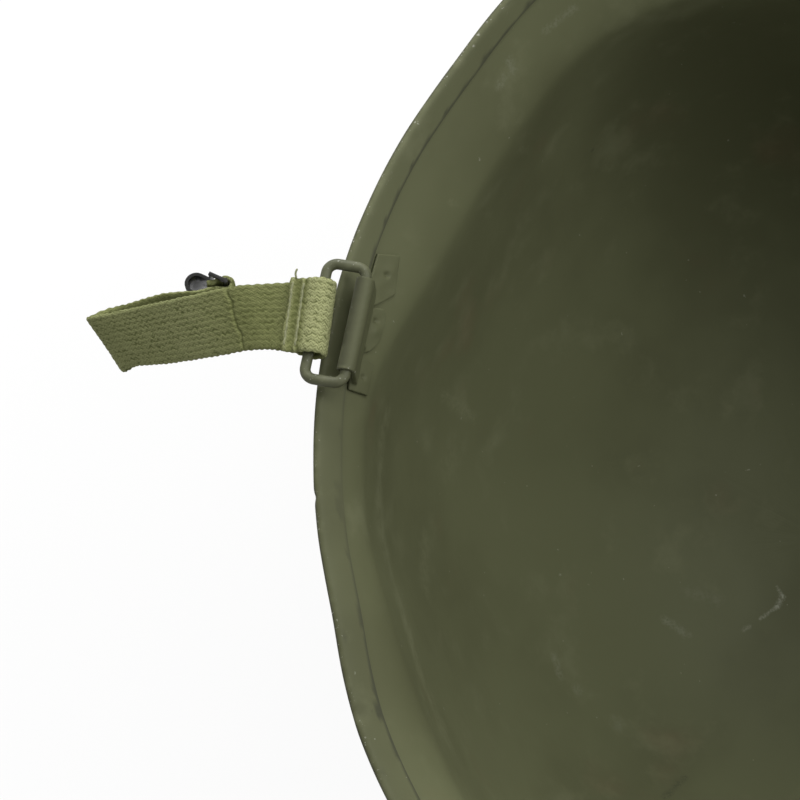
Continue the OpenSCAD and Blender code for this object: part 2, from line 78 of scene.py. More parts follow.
class HelmetColours(bpy.types.PropertyGroup):
    paint: colour_property("Paint", "Olive paint on the shell", (0.101, 0.107, 0.056))
    # Rubbed paint also draws the painted highlight streak on the bowl's wall.
    paint_light: colour_property("Rubbed paint", "Paint that dust and wear lighten", (0.150, 0.156, 0.090))
    paint_dark: colour_property("Grimy paint", "Paint in the grimy patches", (0.083, 0.087, 0.045))
    rust: colour_property("Rust", "Brown tinge where the paint is thin", (0.115, 0.080, 0.045))
    dust: colour_property("Dust", "Pale dust and scuffs", (0.33, 0.34, 0.27))
    # Grime also stands for painted shade along the band's seam and corner and on the hinge barrels'
    # outboard sides.
    grime_and_shade: colour_property("Grime", "Dark stains", (0.035, 0.036, 0.024))
    bare_steel: colour_property("Bare steel", "Steel in the chips and scratches", (0.46, 0.46, 0.40))
    webbing: colour_property("Webbing", "Raised yarns of the webbing", (0.152, 0.164, 0.063))
    webbing_dark: colour_property("Webbing shade", "Hollows between the yarns", (0.068, 0.077, 0.023))
    webbing_worn: colour_property("Worn webbing", "Webbing on the rubbed loops", (0.30, 0.313, 0.155))
    thread: colour_property("Thread", "Sewing thread", (0.25, 0.26, 0.14))
    black: colour_property("Black metal", "Lacquer on the hook and buckle", (0.012, 0.012, 0.011))
    black_worn: colour_property("Handled black", "Lacquer where it is thin", (0.045, 0.043, 0.038))


class HelmetFinish(bpy.types.PropertyGroup):
    sheet_ripple: length_property("Sheet ripple", "Height of the ripples in the pressed steel", 0.00012)
    weave_depth: length_property("Weave depth", "Height of the yarns on the webbing", 0.0002)
    selvedge_depth: length_property("Selvedge depth", "Depth of the scallops on the webbing", 0.00022)
    dimple_depth: length_property("Dimple depth", "Depth of the weld dimples", 0.0006)
    edge_round: length_property("Edge rounding", "Rounding on the stamped hardware", 0.00022)


class HelmetStudio(bpy.types.PropertyGroup):
    camera_distance: length_property("Camera distance", "From the opening's middle to the camera", 0.85)
    camera_elevation: bpy.props.FloatProperty(
        name="Camera elevation", description="Angle of the camera above the floor",
        default=math.radians(80), subtype="ANGLE")
    camera_roll: bpy.props.FloatProperty(
        name="Camera roll", description="Turn of the camera about its own axis",
        default=0.098, subtype="ANGLE")
    focal_length: bpy.props.FloatProperty(
        name="Focal length", description="Lens for a 36 mm wide sensor, in millimetres",
        default=158.74, min=10)
    aim: bpy.props.FloatVectorProperty(
        name="Aim", description="Point at the middle of the picture",
        default=(-0.0975, 0.0205, 0.175), subtype="TRANSLATION", unit="LENGTH")
    side_power: power_property("Side light", "The soft light on the wearer's left", 12.5)
    front_power: power_property("Front light", "The low soft light beyond the visor", 25)
    corner_power: power_property("Corner light", "The soft light between the other two", 10)
    fill_strength: bpy.props.FloatProperty(
        name="Fill light", description="Brightness of the even light from all round", default=0.44, min=0)


# Scuffs, rubs and stains inside the bowl, and a painted highlight streak on its wall, in the row frame:
# the colour, the shape, where it starts and ends, its width in metres and its strength
SHELL_MARKS = (
    ("dust", "line", (-0.0146, -0.0125, 0.0021), (-0.0134, -0.0154, 0.0022), 0.0007, 0.45),
    ("dust", "line", (-0.0134, -0.0154, 0.0022), (-0.0153, -0.0183, 0.0027), 0.0013, 0.6),
    ("dust", "line", (-0.0153, -0.0183, 0.0027), (-0.0205, -0.0213, 0.0036), 0.0008, 0.5),
    ("dust", "line", (-0.0237, -0.0232, 0.0044), (-0.0254, -0.0240, 0.0048), 0.0010, 0.4),
    ("dust", "line", (-0.0470, -0.0195, 0.0123), (-0.0417, -0.0240, 0.0103), 0.0019, 0.2),
    ("dust", "line", (-0.0399, -0.0121, 0.0085), (-0.0317, -0.0148, 0.0057), 0.0030, 0.08),
    ("dust", "line", (-0.0774, -0.0297, 0.0408), (-0.0764, -0.0354, 0.0406), 0.0022, 0.13),
    ("dust", "spot", (-0.0726, -0.0393, 0.0369), None, 0.0026, 0.13),
    ("dust", "spot", (-0.0625, -0.0493, 0.0298), None, 0.0040, 0.08),
    ("paint_light", "line", (-0.0653, 0.0918, 0.1278), (-0.0457, 0.0995, 0.0663), 0.0018, 0.35),
    ("paint_light", "line", (-0.0830, 0.0750, 0.1475), (-0.0755, 0.0776, 0.1199), 0.0016, 0.4),
    ("paint_light", "line", (-0.0954, 0.0367, 0.0954), (-0.0897, 0.0336, 0.0726), 0.0026, 0.45),
    ("paint_light", "spot", (-0.0961, 0.0227, 0.0789), None, 0.0090, 0.45),
    ("paint_light", "line", (-0.1040, -0.0019, 0.0961), (-0.1046, -0.0146, 0.1014), 0.0050, 0.4),
    # These three lines are a painted highlight along the inner wall on the wearer's right.
    ("paint_light", "line", (-0.1065, 0.0235, 0.1370), (-0.1096, 0.0025, 0.1406), 0.0070, 0.45),
    ("paint_light", "line", (-0.1096, 0.0025, 0.1406), (-0.1058, -0.0329, 0.1338), 0.0080, 0.5),
    ("paint_light", "line", (-0.1058, -0.0329, 0.1338), (-0.1000, -0.0570, 0.1285), 0.0080, 0.4),
    ("grime_and_shade", "spot", (-0.0493, 0.1023, 0.0795), None, 0.0011, 1.0),
    ("grime_and_shade", "line", (-0.0461, -0.0660, 0.0273), (-0.0518, -0.0715, 0.0347), 0.0016, 0.45),
    ("dust", "spot", (-0.1012, -0.0492, 0.1160), None, 0.0006, 1.0),
    ("dust", "spot", (-0.0926, 0.0327, 0.0793), None, 0.0005, 1.0),
    ("dust", "spot", (-0.0740, -0.0062, 0.0330), None, 0.0006, 0.7),
    ("dust", "line", (-0.0643, 0.1099, 0.1493), (-0.0638, 0.1074, 0.1468), 0.0022, 0.16),
    ("dust", "line", (-0.0672, 0.1037, 0.1481), (-0.0662, 0.1056, 0.1483), 0.0020, 0.14),
    ("dust", "line", (-0.0544, 0.1177, 0.1452), (-0.0462, 0.1231, 0.1432), 0.0018, 0.14),
)
# The same for the band: bare steel in small chips near its edge
BAND_MARKS = (
    ("bare_steel", "spot", (-0.0704, 0.1147, 0.1593), None, 0.0006, 1.0),
    ("bare_steel", "spot", (-0.0679, 0.1177, 0.1587), None, 0.0004, 0.9),
    ("bare_steel", "spot", (-0.0717, 0.1116, 0.1596), None, 0.0005, 0.9),
    ("bare_steel", "spot", (-0.0746, 0.1104, 0.1599), None, 0.0004, 0.8),
)


# Shader building

class Shader:
    """A material's node tree, built node by node."""

    def __init__(self, name):
        self.material = bpy.data.materials.new(name)
        self.material.use_nodes = True
        self.tree = self.material.node_tree
        self.surface = self.tree.nodes["Principled BSDF"]
        self.output = self.tree.nodes["Material Output"]
        self.column = 0

    def node(self, kind, settings=None, **sockets):
        made = self.tree.nodes.new(kind)
        self.column -= 180
        made.location = (self.column, 0)
        for name, value in (settings or {}).items():
            setattr(made, name, value)
        for name, value in sockets.items():
            self.feed(made, name, value)
        return made

    def feed(self, made, name, value):
        key = int(name[1:]) if name[0] == "i" and name[1:].isdigit() else name.replace("_", " ")
        socket = made.inputs[key]
        if isinstance(value, bpy.types.NodeSocket):
            self.tree.links.new(value, socket)
        elif socket.type == "RGBA" and len(value) == 3:
            socket.default_value = (*value, 1)
        else:
            socket.default_value = value

    def place(self):
        return self.node("ShaderNodeTexCoord").outputs["Object"]

    def math(self, operation, a, b=0.0, c=0.0, clamp=False):
        settings = {"operation": operation, "use_clamp": clamp}
        return self.node("ShaderNodeMath", settings, i0=a, i1=b, i2=c).outputs[0]

    def part(self, mask, share):
        """A mask at a share of its strength."""
        return self.math("MULTIPLY", mask, share)

    def vector(self, operation, a, b=(0, 0, 0), scale=None):
        made = self.node("ShaderNodeVectorMath", {"operation": operation}, i0=a, i1=b)
        if scale is not None:
            self.feed(made, "Scale", scale)
        return made.outputs["Value" if operation in ("DOT_PRODUCT", "LENGTH", "DISTANCE") else "Vector"]

    def noise(self, at, scale, detail=3.0, roughness=0.5):
        return self.node("ShaderNodeTexNoise", Vector=at, Scale=scale, Detail=detail,
                         Roughness=roughness).outputs["Fac"]

    def step(self, value, low, high):
        """0 below low and 1 above high, softly between, or the other way round if low is above high."""
        made = self.node("ShaderNodeMapRange", {"interpolation_type": "SMOOTHSTEP"}, Value=value)
        if low < high:
            self.feed(made, "From_Min", low), self.feed(made, "From_Max", high)
        else:
            self.feed(made, "From_Min", high), self.feed(made, "From_Max", low)
            self.feed(made, "To_Min", 1.0), self.feed(made, "To_Max", 0.0)
        return made.outputs["Result"]

    def blend(self, factor, a, b):
        made = self.node("ShaderNodeMix", {"data_type": "RGBA"})
        for socket, value in ((0, factor), (6, a), (7, b)):
            self.feed(made, f"i{socket}", value)
        return made.outputs[2]

    def bump(self, height, distance, strength=1.0, normal=None):
        made = self.node("ShaderNodeBump", Strength=strength, Distance=distance, Height=height)
        if normal is not None:
            self.feed(made, "Normal", normal)
        return made.outputs["Normal"]

    def layer(self, name):
        """A number that is kept per point of the mesh."""
        settings = {"attribute_type": "GEOMETRY", "attribute_name": name}
        return self.node("ShaderNodeAttribute", settings).outputs["Fac"]

    def mark(self, at, shape, start, end, width, strength):
        """A scuff with a broken edge along a line, or a spot."""
        if shape == "line":
            run = Vector(end) - Vector(start)
            away = self.vector("SUBTRACT", at, start)
            share = self.math("MULTIPLY", self.vector("DOT_PRODUCT", away, tuple(run)),
                              1 / run.length_squared, clamp=True)
            nearest = self.vector("SCALE", tuple(run), scale=share)
            distance = self.vector("DISTANCE", away, nearest)
        else:
            distance = self.vector("DISTANCE", at, start)
        broken = self.math("MULTIPLY_ADD", self.noise(at, 0.9 / width, 4, 0.65), 1.8 * width, -0.8 * width)
        wisps = self.step(self.noise(at, 2.2 / width, 5, 0.7), 0.34, 0.62)
        inside = self.step(self.math("ADD", distance, broken), 1.15 * width, 0)
        return self.part(self.math("MULTIPLY", inside, wisps), strength)

    def set(self, **sockets):
        for name, value in sockets.items():
            self.feed(self.surface, name, value)
        return self.material


def finish_piece(piece, body, slot, material, *nodes):
    """Gives a finished piece its material and body, and hides the CAD nodes that it stands for; slot is not
    used.
    """
    piece.data.materials.clear()
    piece.data.materials.append(material)
    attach(piece, body)
    if nodes:
        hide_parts(*nodes)


def nothing_selected():
    if bpy.context.object and bpy.context.object.mode != "OBJECT":
        bpy.ops.object.mode_set(mode="OBJECT")
    bpy.ops.object.select_all(action="DESELECT")


def pick(piece):
    nothing_selected()
    piece.select_set(True)
    bpy.context.view_layer.objects.active = piece


def copy_of(node, name):
    """A separate merged copy of a CAD node, ready to be worked on."""
    source = frame["nodes"][node]
    piece = bpy.data.objects.new(name, source.data.copy())
    piece.data.name = name
    bpy.context.scene.collection.objects.link(piece)
    pick(piece)
    bpy.ops.object.mode_set(mode="EDIT")
    bpy.ops.mesh.select_all(action="SELECT")
    bpy.ops.mesh.remove_doubles(threshold=0.000002)
    bpy.ops.mesh.tris_convert_to_quads(face_threshold=math.radians(40), shape_threshold=math.radians(60))
    bpy.ops.object.mode_set(mode="OBJECT")
    return piece


def apply_modifier(piece, kind, **settings):
    pick(piece)
    modifier = piece.modifiers.new(kind.title(), kind)
    for name, value in settings.items():
        setattr(modifier, name, value)
    bpy.ops.object.modifier_apply(modifier=modifier.name)


def smooth(piece, angle=60):
    pick(piece)
    bpy.ops.object.shade_smooth_by_angle(angle=math.radians(angle))


# The hinge's own directions and the straps' paths, in millimetres from the hinge's middle

class Hinge:
    """Turns points from the hinge on the wearer's right to the row frame, or mirrors them to the left."""

    def __init__(self):
        swing = JOINTS["right_bale_swing"]
        self.centre = np.array(swing["pos_m"]) * 1000
        self.run = unit(np.array(swing["axis"]))
        self.out = unit(np.cross((0, 0, 1), self.run))
        self.up = np.cross(self.run, self.out)
        bar = np.array(JOINTS["short_strap_swing"]["pos_m"]) * 1000 - self.centre
        self.bar_y, self.bar_z = bar @ self.out, bar @ self.up

    def place(self, points, left=False):
        """Points as rows of run, out and up in millimetres, to metres in the row frame."""
        x, y, z = (column[:, None] for column in np.atleast_2d(points).T)
        placed = self.centre + x * self.run + y * self.out + z * self.up
        if left:
            placed[:, 0] *= -1
        return placed / 1000

    def measure(self, placed, left=False):
        """The other way round, from metres in the row frame."""
        points = np.array(placed) * 1000
        if left:
            points[:, 0] *= -1
        points -= self.centre
        return np.column_stack((points @ self.run, points @ self.out, points @ self.up))


def unit(v):
    v = np.asarray(v, float)
    return v / np.linalg.norm(v)


def arc(centre_y, centre_z, radius, half, angles):
    return [([0, centre_y + radius * math.cos(t), centre_z + radius * math.sin(t)], [half, 0, 0])
            for t in np.radians(angles)]


def curved(stations, steps=24):
    """A smooth curve through stations of a middle point and a half width."""
    run = []
    last = len(stations) - 1
    for i in range(last):
        a, b, c, d = (np.array(stations[k], float) for k in (max(i - 1, 0), i, i + 1, min(i + 2, last)))
        for j in range(steps):
            t = j / steps
            run.append(0.5 * (2 * b + (c - a) * t + (2 * a - 5 * b + 4 * c - d) * t ** 2
                              + (3 * b - a - 3 * c + d) * t ** 3))
    return run


# The webbing's thickness, and how far the middle of a doubled layer lies from that of the pair
WEBBING = 1.5
LAYER = WEBBING / 2 + 0.1
# Half the webbing's width on the straps and where it spreads in the loops, and a loop's radius
HALF_WIDTH = 8.7
LOOP_HALF = 9.9
LOOP = 2.9
# The short strap's loop: its turn on the bar, its outline away from the bar and up from it, and where
# it is sewn flat
LOOP_TURN = math.radians(4.5)
LOOP_OUTLINE = ((2.2, 2.05), (0.9, 2.85), (-0.6, 3.1), (-2, 2.64), (-3, 1.49), (-3.28, 0))
SEWN_START, SEWN_END = 3.7, 7.3
# Its free part: a middle point, and the direction across the webbing there
FREE_STATIONS = (
    ((-1.4, 28.5, -4.4), (0.9, 0.4, 0.06)), ((-3.2, 41, -12.2), (0.84, 0.53, 0.09)),
    ((-4.3, 54.5, -22.6), (0.77, 0.63, 0.09)), ((-5, 66.5, -31.6), (0.66, 0.75, 0.09)),
    ((-5, 69.6, -35.6), (0.7, 0.7, 0.14)), ((-2.4, 67.4, -38.8), (0.85, 0.46, 0.28)),
    ((2.4, 63.7, -43.3), (0.6, 0.2, 0.76)), ((8.9, 58.4, -46.3), (0.3, 0.02, 0.95)))
# Its end round the hook's bar: the bar's middle, the directions from the strap and across it, the
# radius round the bar, and half widths in the bend and beside it
END_MIDDLE = (17.4, 44, -48.6)
END_AHEAD = (2.7, -7.1, -0.5)
END_ACROSS = (0.1, -0.05, 0.99)
END_RADIUS = 1.75
BEND_HALF, NECK_HALF = 7.6, 7.8
# The long strap hangs this far outward of the bar
HANG = 0.55


def short_strap_path(hinge):
    """Stations of the short strap, and the middle and directions of its end."""
    turned = np.array((math.cos(LOOP_TURN), math.sin(LOOP_TURN), 0))

    def in_loop(away, up, half):
        return in_turned_loop(hinge, 0, away, up), turned * half

    path = [in_loop(away, LAYER, HALF_WIDTH + 1.1) for away in (SEWN_END, SEWN_START)]
    path += [in_loop(away, up, LOOP_HALF) for away, up in LOOP_OUTLINE]
    path += [in_loop(away, -up, LOOP_HALF) for away, up in LOOP_OUTLINE[-2::-1]]
    path += [in_loop(SEWN_START, -LAYER, HALF_WIDTH + 0.7)]
    end_at, end_d, end_h = np.array(END_MIDDLE), unit(END_AHEAD), np.array(END_ACROSS)
    end_h = unit(end_h - end_d * (end_h @ end_d))
    end_n = np.cross(end_h, end_d)

    def at_end(d, n, half):
        return end_at + end_d * d + end_n * n, end_h * half

    lead = at_end(-7.5, -LAYER - 0.9, HALF_WIDTH)
    path += curved([in_loop(SEWN_END + 0.8, -LAYER - 0.2, HALF_WIDTH + 0.3)]
                   + [(middle, unit(across) * HALF_WIDTH) for middle, across in FREE_STATIONS] + [lead])
    path += [lead, at_end(-3.4, -LAYER, NECK_HALF)]
    path += [at_end(END_RADIUS * math.cos(t), END_RADIUS * math.sin(t), BEND_HALF)
             for t in np.radians(range(-120, 121, 10))]
    path += [at_end(-3.4, LAYER, NECK_HALF), at_end(-4.7, LAYER, NECK_HALF + 0.2)]
    return path, (end_at, end_d, end_h, end_n)


def in_turned_loop(hinge, x, away, up):
    """A point in the short strap's loop: along its width, away from the bar and up from it."""
    cosine, sine = math.cos(LOOP_TURN), math.sin(LOOP_TURN)
    return np.array((0.2 + x * cosine - away * sine, hinge.bar_y + x * sine + away * cosine,
                     hinge.bar_z + up))


def long_strap_path(hinge, drop=112.0, tail=50.0):
    """Stations of the long strap: the loop, the drop to the buckle's bend, and the tail back up."""
    y, z = hinge.bar_y, hinge.bar_z
    bend = hinge.bar_z - drop
    flat = [HALF_WIDTH, 0, 0]
    outer = y + HANG + LAYER
    path = [([0, outer, z - 8.3], flat), ([0, outer, z - 4.7], flat)]
    path += arc(y, z, LOOP, LOOP_HALF, range(-36, 264, 8))
    path += [([0, y + HANG - LAYER, z - 5.5], flat), ([0, y + HANG - LAYER, z - 24], flat),
             ([0, y - LAYER, z - 36], flat), ([0, y - LAYER, bend + 8], flat)]
    path += arc(y, bend, 2.35, HALF_WIDTH, range(160, 385, 9))
    path += [([0, y + LAYER, bend + 8], flat), ([0, y + LAYER, bend + tail - 16], flat),
             ([0, y + LAYER + 0.95, bend + tail - 11], flat), ([0, y + LAYER + 0.95, bend + tail], flat)]
    return path


# Webbing

def soft_noise(u, w, size, seed):
    """Smooth noise from 0 to 1 over a flat sheet, the same in every run."""
    grid = np.random.default_rng(seed).random((64, 64))
    u, w = np.asarray(u) / size, np.asarray(w) / size
    i, j = np.floor(u).astype(int), np.floor(w).astype(int)
    a, b = u - i, w - j
    a, b = a * a * (3 - 2 * a), b * b * (3 - 2 * b)

    def at(p, q):
        return grid[p % 64, q % 64]

    return ((at(i, j) * (1 - a) + at(i + 1, j) * a) * (1 - b)
            + (at(i, j + 1) * (1 - a) + at(i + 1, j + 1) * a) * b)


# Millimetres: the length of one pick of the weave and of one scallop of its edge, from row to row of
# its yarns, and the rounded edge's width
PICK = 2.05
ROW = 1.5
EDGE = 0.95


def weave(u, w, seed):
    """Height of the yarns from 0 in a hollow to 1 on a crown: soft wavy rows along the webbing."""
    wave = np.sin(2 * np.pi * (u / PICK + 0.5 * soft_noise(u, w, 3.1, seed) + 0.12 * np.sin(w * 2.1)))
    row = (w + 0.27 * wave + 0.55 * soft_noise(u, w, 1.25, seed + 1)) / ROW
    ridge = (0.5 - 0.5 * np.cos(2 * np.pi * row)) ** 0.45
    faint = 0.45 + 0.55 * soft_noise(u, w, 1.7, seed + 3)
    pits = np.clip(1.7 * soft_noise(u, w, 0.6, seed + 2) - 0.85, 0, 1)
    return np.clip(1 - faint * (1 - ridge) - 0.45 * pits, 0, 1)


def bell(x, width):
    return np.exp(-(x / width) ** 2)


def evenly(path, pitch):
    """A path's middle points and half widths at even steps, with its corners eased."""
    middle = np.array([np.asarray(station[0], float) for station in path])
    half = np.array([np.asarray(station[1], float) for station in path])
    length = np.concatenate(([0], np.cumsum(np.linalg.norm(np.diff(middle, axis=0), axis=1))))
    rows = int(length[-1] / pitch) + 1
    along = np.linspace(0, length[-1], rows)
    reach = 8
    kernel = bell(np.arange(-reach, reach + 1) * pitch, 1.1)
    kernel /= kernel.sum()
    hold = np.clip(np.minimum(np.arange(rows), np.arange(rows)[::-1]) / reach, 0, 1)

    def eased(values):
        values = np.interp(along, length, values)
        ends = np.concatenate((np.repeat(values[:1], reach), values, np.repeat(values[-1:], reach)))
        return values + (np.convolve(ends, kernel, "valid") - values) * hold

    return along, *(np.column_stack([eased(values[:, k]) for k in range(3)]) for values in (middle, half))


def around(columns):
    """Places across the webbing for one turn round it, and which side each lies on."""
    inner_half = HALF_WIDTH - EDGE
    turn = np.array([EDGE * (1 - math.cos(t)) for t in np.radians((0, 22, 45, 68))])
    inner = np.linspace(-inner_half, inner_half, int(2 * inner_half / columns))
    one_side = np.concatenate((-HALF_WIDTH + turn, inner, (HALF_WIDTH - turn)[::-1]))
    spots = np.concatenate((one_side, one_side[::-1][1:-1]))
    return spots, np.concatenate((np.ones(len(one_side)), -np.ones(len(one_side) - 2)))


def webbing_piece(name, path, pitch, place, depth, scallop, shape, columns=0.27):
    """A dense closed ribbon of webbing along a path, with its weave and its scalloped edges.

    shape(u, w, outer) adds to the surface in millimetres and gives how flat the weave is pressed
    there, below 0 for a crease, whose deepened hollows get painted shade, and how worn it looks;
    outer faces away from the bale.
    """
    along, middle, half = evenly(path, pitch)
    run = np.gradient(middle, axis=0)
    run /= np.linalg.norm(run, axis=1)[:, None]
    width = np.linalg.norm(half, axis=1)
    across = half / width[:, None]
    normal = np.cross(across, run)
    normal /= np.linalg.norm(normal, axis=1)[:, None]

    spots, sides = around(columns)
    u, w = np.meshgrid(along, spots, indexing="ij")
    side = np.broadcast_to(sides, u.shape)
    reach = np.clip((np.abs(w) - (HALF_WIDTH - EDGE)) / EDGE, 0, 1)
    profile = WEBBING / 2 * np.sqrt(np.clip(1 - reach ** 2, 0, 1))
    crown = np.where(side > 0, weave(u, w, 11), weave(u + 0.9, w, 31))
    swell, pressed, worn = shape(u, w, side < 0)
    # A press below 0 lowers the crowns, so the hollow layer gives the crease painted shade.
    crown = np.where(pressed > 0, crown + (1 - crown) * pressed, crown * (1 + pressed))
    thick = profile - depth * (1 - crown) * np.sqrt(profile / (WEBBING / 2)) + swell * (1 - reach ** 2)
    thick = np.maximum(thick, 0.15 * profile)
    waves = scallop * (0.5 + 0.5 * np.cos(2 * np.pi * u / PICK + np.sign(w)))
    waves = waves + 0.22 * soft_noise(u, w * 0 + np.sign(w) * 9, 1.4, 5)
    fit = (width[:, None] - waves * np.abs(w) / HALF_WIDTH) / HALF_WIDTH
    rag = 0.9 * (soft_noise(w * 0, w, 0.9, 8) - 0.5)
    stretch = rag * (np.clip(1 - u / 1.2, 0, 1) - np.clip(1 - (along[-1] - u) / 1.2, 0, 1))
    spot = (middle[:, None, :] + across[:, None, :] * (w * fit)[..., None]
            + normal[:, None, :] * (thick * side)[..., None] + run[:, None, :] * stretch[..., None])

    def joined(values):
        """Repeats the first column as the last, where the sheet's two edges meet."""
        return np.concatenate((values, values[:, :1]), axis=1)

    rows, ring = u.shape
    nothing_selected()
    bpy.ops.mesh.primitive_grid_add(x_subdivisions=ring, y_subdivisions=rows - 1, calc_uvs=True)
    piece = bpy.context.object
    piece.name = piece.data.name = name
    points = place(joined(spot).reshape(-1, 3))
    piece.data.vertices.foreach_set("co", points.astype(np.float32).ravel())
    # The hollow layer carries the painted shade of the weave's hollows and creases to the material.
    for layer, values in (("hollow", 1 - crown), ("worn", worn)):
        piece.data.attributes.new(layer, "FLOAT", "POINT").data.foreach_set(
            "value", joined(values).ravel().astype(np.float32))
    laid = np.broadcast_to(np.arange(ring + 1) * columns, (rows, ring + 1))
    flat = np.stack((joined(u), laid), axis=-1).reshape(-1, 2) / 1000
    corners = np.empty(len(piece.data.loops), np.int32)
    piece.data.loops.foreach_get("vertex_index", corners)
    piece.data.uv_layers.active.data.foreach_set("uv", flat[corners].astype(np.float32).ravel())
    close_ribbon()
    smooth(piece, 180)
    return piece


def close_ribbon():
    """Sews the sheet in hand along its two edges and closes its ends."""
    bpy.ops.object.mode_set(mode="EDIT")
    bpy.ops.mesh.select_mode(type="EDGE")
    bpy.ops.mesh.select_all(action="SELECT")
    bpy.ops.mesh.remove_doubles(threshold=0.000001)
    bpy.ops.mesh.select_all(action="DESELECT")
    bpy.ops.mesh.select_non_manifold()
    bpy.ops.mesh.fill_holes(sides=0)
    bpy.ops.mesh.select_all(action="SELECT")
    bpy.ops.mesh.normals_make_consistent(inside=False)
    bpy.ops.object.mode_set(mode="OBJECT")


def tube(name, runs, radius):
    """Closed tubes along lists of points in metres, such as threads."""
    sides = 8
    vertices, faces = [], []
    for points in runs:
        points = np.array(points, float)
        run = np.gradient(points, axis=0)
        run /= np.linalg.norm(run, axis=1)[:, None]
        guide = unit(np.cross(run.mean(0), (0.3, 0.2, 0.9)))
        first = len(vertices)
        for i, (point, ahead) in enumerate(zip(points, run)):
            a = unit(guide - ahead * (guide @ ahead))
            b = np.cross(ahead, a)
            size = radius * (0.55 if i in (0, len(points) - 1) else 1)
            vertices += [point + size * (a * math.cos(t) + b * math.sin(t))
                         for t in np.linspace(0, 2 * math.pi, sides, endpoint=False)]
        for i in range(len(points) - 1):
            p = first + i * sides
            q = p + sides
            faces += [(p + j, p + (j + 1) % sides, q + (j + 1) % sides, q + j) for j in range(sides)]
        faces += [tuple(range(first + sides - 1, first - 1, -1)),
                  tuple(range(len(vertices) - sides, len(vertices)))]
    mesh = bpy.data.meshes.new(name)
    mesh.from_pydata([tuple(v) for v in vertices], [], faces)
    piece = bpy.data.objects.new(name, mesh)
    bpy.context.scene.collection.objects.link(piece)
    smooth(piece, 60)
    return piece


def reshape(piece, move):
    """Moves a piece's points by a function of arrays of points and normals, in metres."""
    mesh = piece.data
    points = np.empty(len(mesh.vertices) * 3, np.float32)
    normals = np.empty(len(mesh.vertices) * 3, np.float32)
    mesh.vertices.foreach_get("co", points)
    mesh.vertices.foreach_get("normal", normals)
    points, normals = points.reshape(-1, 3), normals.reshape(-1, 3)
    mesh.vertices.foreach_set("co", move(points, normals).astype(np.float32).ravel())
    mesh.update()


def mark(piece, layer, value):
    """Keeps a number per point for the material, from a function of the points."""
    points = np.empty(len(piece.data.vertices) * 3, np.float32)
    piece.data.vertices.foreach_get("co", points)
    piece.data.attributes.new(layer, "FLOAT", "POINT").data.foreach_set(
        "value", value(points.reshape(-1, 3)).astype(np.float32))


# Materials

def toned(colour, tone):
    return tuple(tone * c for c in colour)


def olive_paint(name, tone=1.0, edge_layer=None, dirt_and_shade_layer=None, marks=(), gloss=0.11):
    """Semi-matte olive paint, with soft clouds, rust tinges and dust.

    It is chipped where edge_layer is high, and darkened towards the grime colour where the named seam layer
    is high: grime on the hinge barrels, and painted shade along the band's seam and corner and on the
    barrels' outboard sides.
    """
    colours = bpy.context.scene.helmet_colours
    paint = Shader(name)
    at = paint.place()
    cloudy = paint.noise(at, 14, 4, 0.55)
    patchy = paint.noise(at, 60, 5, 0.6)
    grainy = paint.noise(at, 900, 3, 0.6)
    clean, dark = toned(colours.paint, tone), toned(colours.paint_dark, tone)
    colour = paint.blend(paint.step(cloudy, 0.40, 0.66), clean, dark)
    dusty = paint.part(paint.step(patchy, 0.52, 0.78), 0.42)
    colour = paint.blend(dusty, colour, toned(colours.paint_light, tone))
    rusty = paint.part(paint.step(paint.noise(at, 31, 4), 0.58, 0.78), 0.3)
    colour = paint.blend(rusty, colour, colours.rust)
    specks = paint.part(paint.step(paint.noise(at, 620, 2, 0.4), 0.775, 0.80), 0.35)
    colour = paint.blend(specks, colour, colours.dust)
    for kind, *where in marks:
        colour = paint.blend(paint.mark(at, *where), colour, getattr(colours, kind))
    # Darkening from the seam layer: grime on the barrels, and painted shade along the band's seam and
    # corner and on the barrels' outboard sides.
    if dirt_and_shade_layer:
        colour = paint.blend(paint.part(paint.layer(dirt_and_shade_layer), 0.6), colour, colours.grime_and_shade)
    if edge_layer:
        edge = paint.layer(edge_layer)
        rubbed = paint.math("MULTIPLY", edge, paint.step(paint.noise(at, 240, 4), 0.42, 0.7))
        colour = paint.blend(paint.part(rubbed, 0.5), colour, colours.paint_light)
        chips = paint.math("MULTIPLY", edge, paint.step(paint.noise(at, 1300, 3, 0.55), 0.66, 0.69))
        colour = paint.blend(paint.part(chips, 0.6), colour, colours.bare_steel)
    roughness = paint.math("MULTIPLY_ADD", patchy, 0.22, 0.44)
    fine = paint.bump(grainy, 0.00003, 0.55)
    return paint.set(Base_Color=colour, Roughness=roughness, Specular_IOR_Level=gloss,
                     Normal=paint.bump(patchy, 0.0002, 0.25, fine))


# Metres: the width of one column of the chevrons, and from thread to thread along the webbing
CHEVRON = 0.00062
THREAD_STEP = 0.0007


